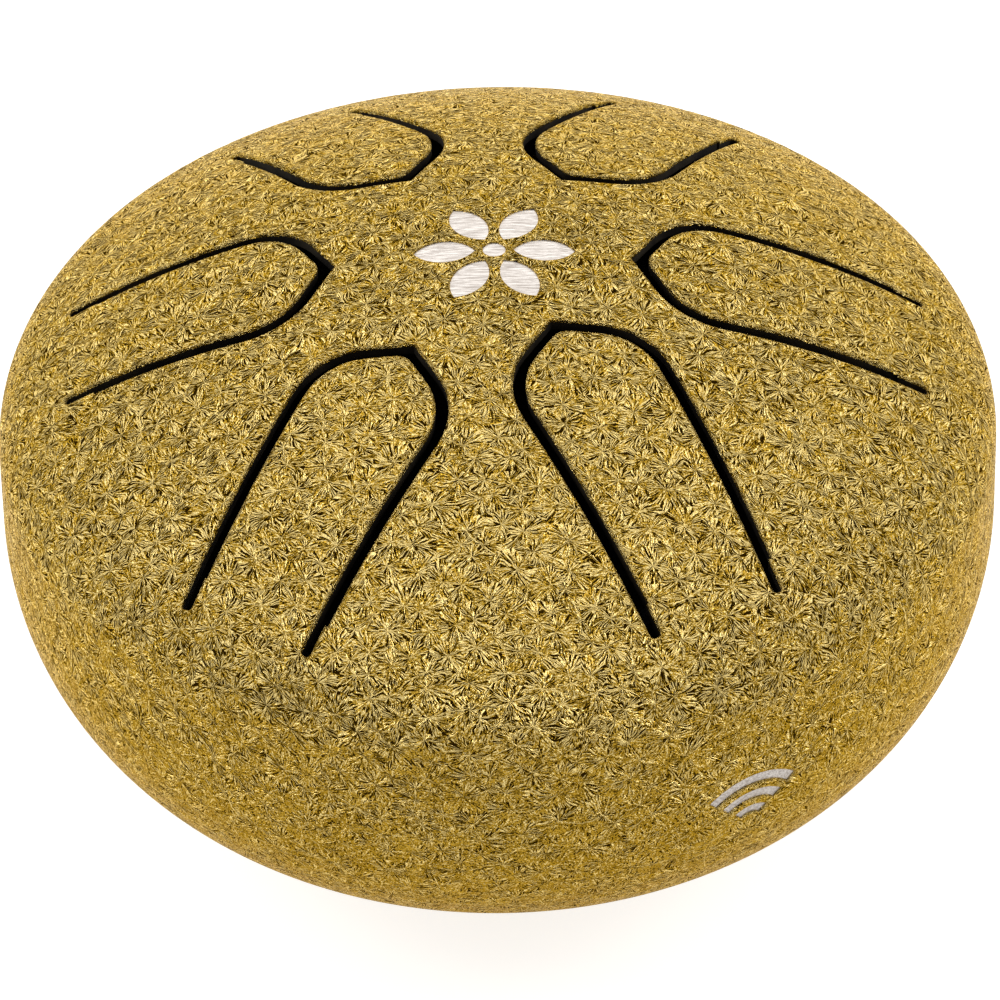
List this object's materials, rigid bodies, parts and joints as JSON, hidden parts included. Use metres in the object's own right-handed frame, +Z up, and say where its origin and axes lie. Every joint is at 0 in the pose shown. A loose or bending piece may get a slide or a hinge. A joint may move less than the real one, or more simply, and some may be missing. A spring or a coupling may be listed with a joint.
{
  "type": "steel tongue drum",
  "caption": "Pocket-size steel tongue drum: a domed two-part steel shell with flexing cut tongues, a sound hole underneath and push-in rubber feet.",
  "frame": {"origin": "on the drum's vertical axis, at the plane of the feet's undersides", "axes": "+Z up through the top of the dome; +Y away from the side the player faces; the tongues are numbered anticlockwise seen from above, starting at 62 degrees clockwise of +X"},
  "size_m": [0.08, 0.08, 0.0489],
  "materials": {
    "gold_wrinkle_coat": "metallic gold wrinkle powder coat on steel",
    "bare_steel": "bare brushed steel where the coating is cut away",
    "black_rubber": "matt moulded rubber"
  },
  "bodies": {
    "drum_body": {"upper_shell": "gold_wrinkle_coat", "seam_weld": "gold_wrinkle_coat", "lower_shell": "gold_wrinkle_coat", "foot_1": "black_rubber", "foot_2": "black_rubber", "foot_3": "black_rubber"},
    "tongue_1_plate": {"tongue_1": "gold_wrinkle_coat"},
    "tongue_2_plate": {"tongue_2": "gold_wrinkle_coat"},
    "tongue_3_plate": {"tongue_3": "gold_wrinkle_coat"},
    "tongue_4_plate": {"tongue_4": "gold_wrinkle_coat"},
    "tongue_5_plate": {"tongue_5": "gold_wrinkle_coat"},
    "tongue_6_plate": {"tongue_6": "gold_wrinkle_coat"}
  },
  "joints": [
    {"name": "tongue_1_flex", "type": "hinge", "parent": "drum_body", "child": "tongue_1_plate", "pos_m": [0.01671, -0.03143, 0.03738], "axis": [0.8829, 0.4695, 0], "range_deg": [-0.6, 0.6], "stiffness_Nm_per_rad": 0.08},
    {"name": "tongue_2_flex", "type": "hinge", "parent": "drum_body", "child": "tongue_2_plate", "pos_m": [0.0341, -0.0006, 0.03838], "axis": [0.0175, 0.9998, 0], "range_deg": [-0.6, 0.6], "stiffness_Nm_per_rad": 0.08},
    {"name": "tongue_3_flex", "type": "hinge", "parent": "drum_body", "child": "tongue_3_plate", "pos_m": [0.01494, 0.02751, 0.04009], "axis": [-0.8788, 0.4772, 0], "range_deg": [-0.6, 0.6], "stiffness_Nm_per_rad": 0.08},
    {"name": "tongue_4_flex", "type": "hinge", "parent": "drum_body", "child": "tongue_4_plate", "pos_m": [-0.01635, 0.02669, 0.04009], "axis": [-0.8526, -0.5225, 0], "range_deg": [-0.6, 0.6], "stiffness_Nm_per_rad": 0.08},
    {"name": "tongue_5_flex", "type": "hinge", "parent": "drum_body", "child": "tongue_5_plate", "pos_m": [-0.0341, 0, 0.03838], "axis": [0, -1, 0], "range_deg": [-0.6, 0.6], "stiffness_Nm_per_rad": 0.08},
    {"name": "tongue_6_flex", "type": "hinge", "parent": "drum_body", "child": "tongue_6_plate", "pos_m": [-0.01961, -0.03138, 0.03634], "axis": [0.848, -0.5299, 0], "range_deg": [-0.6, 0.6], "stiffness_Nm_per_rad": 0.08}
  ]
}
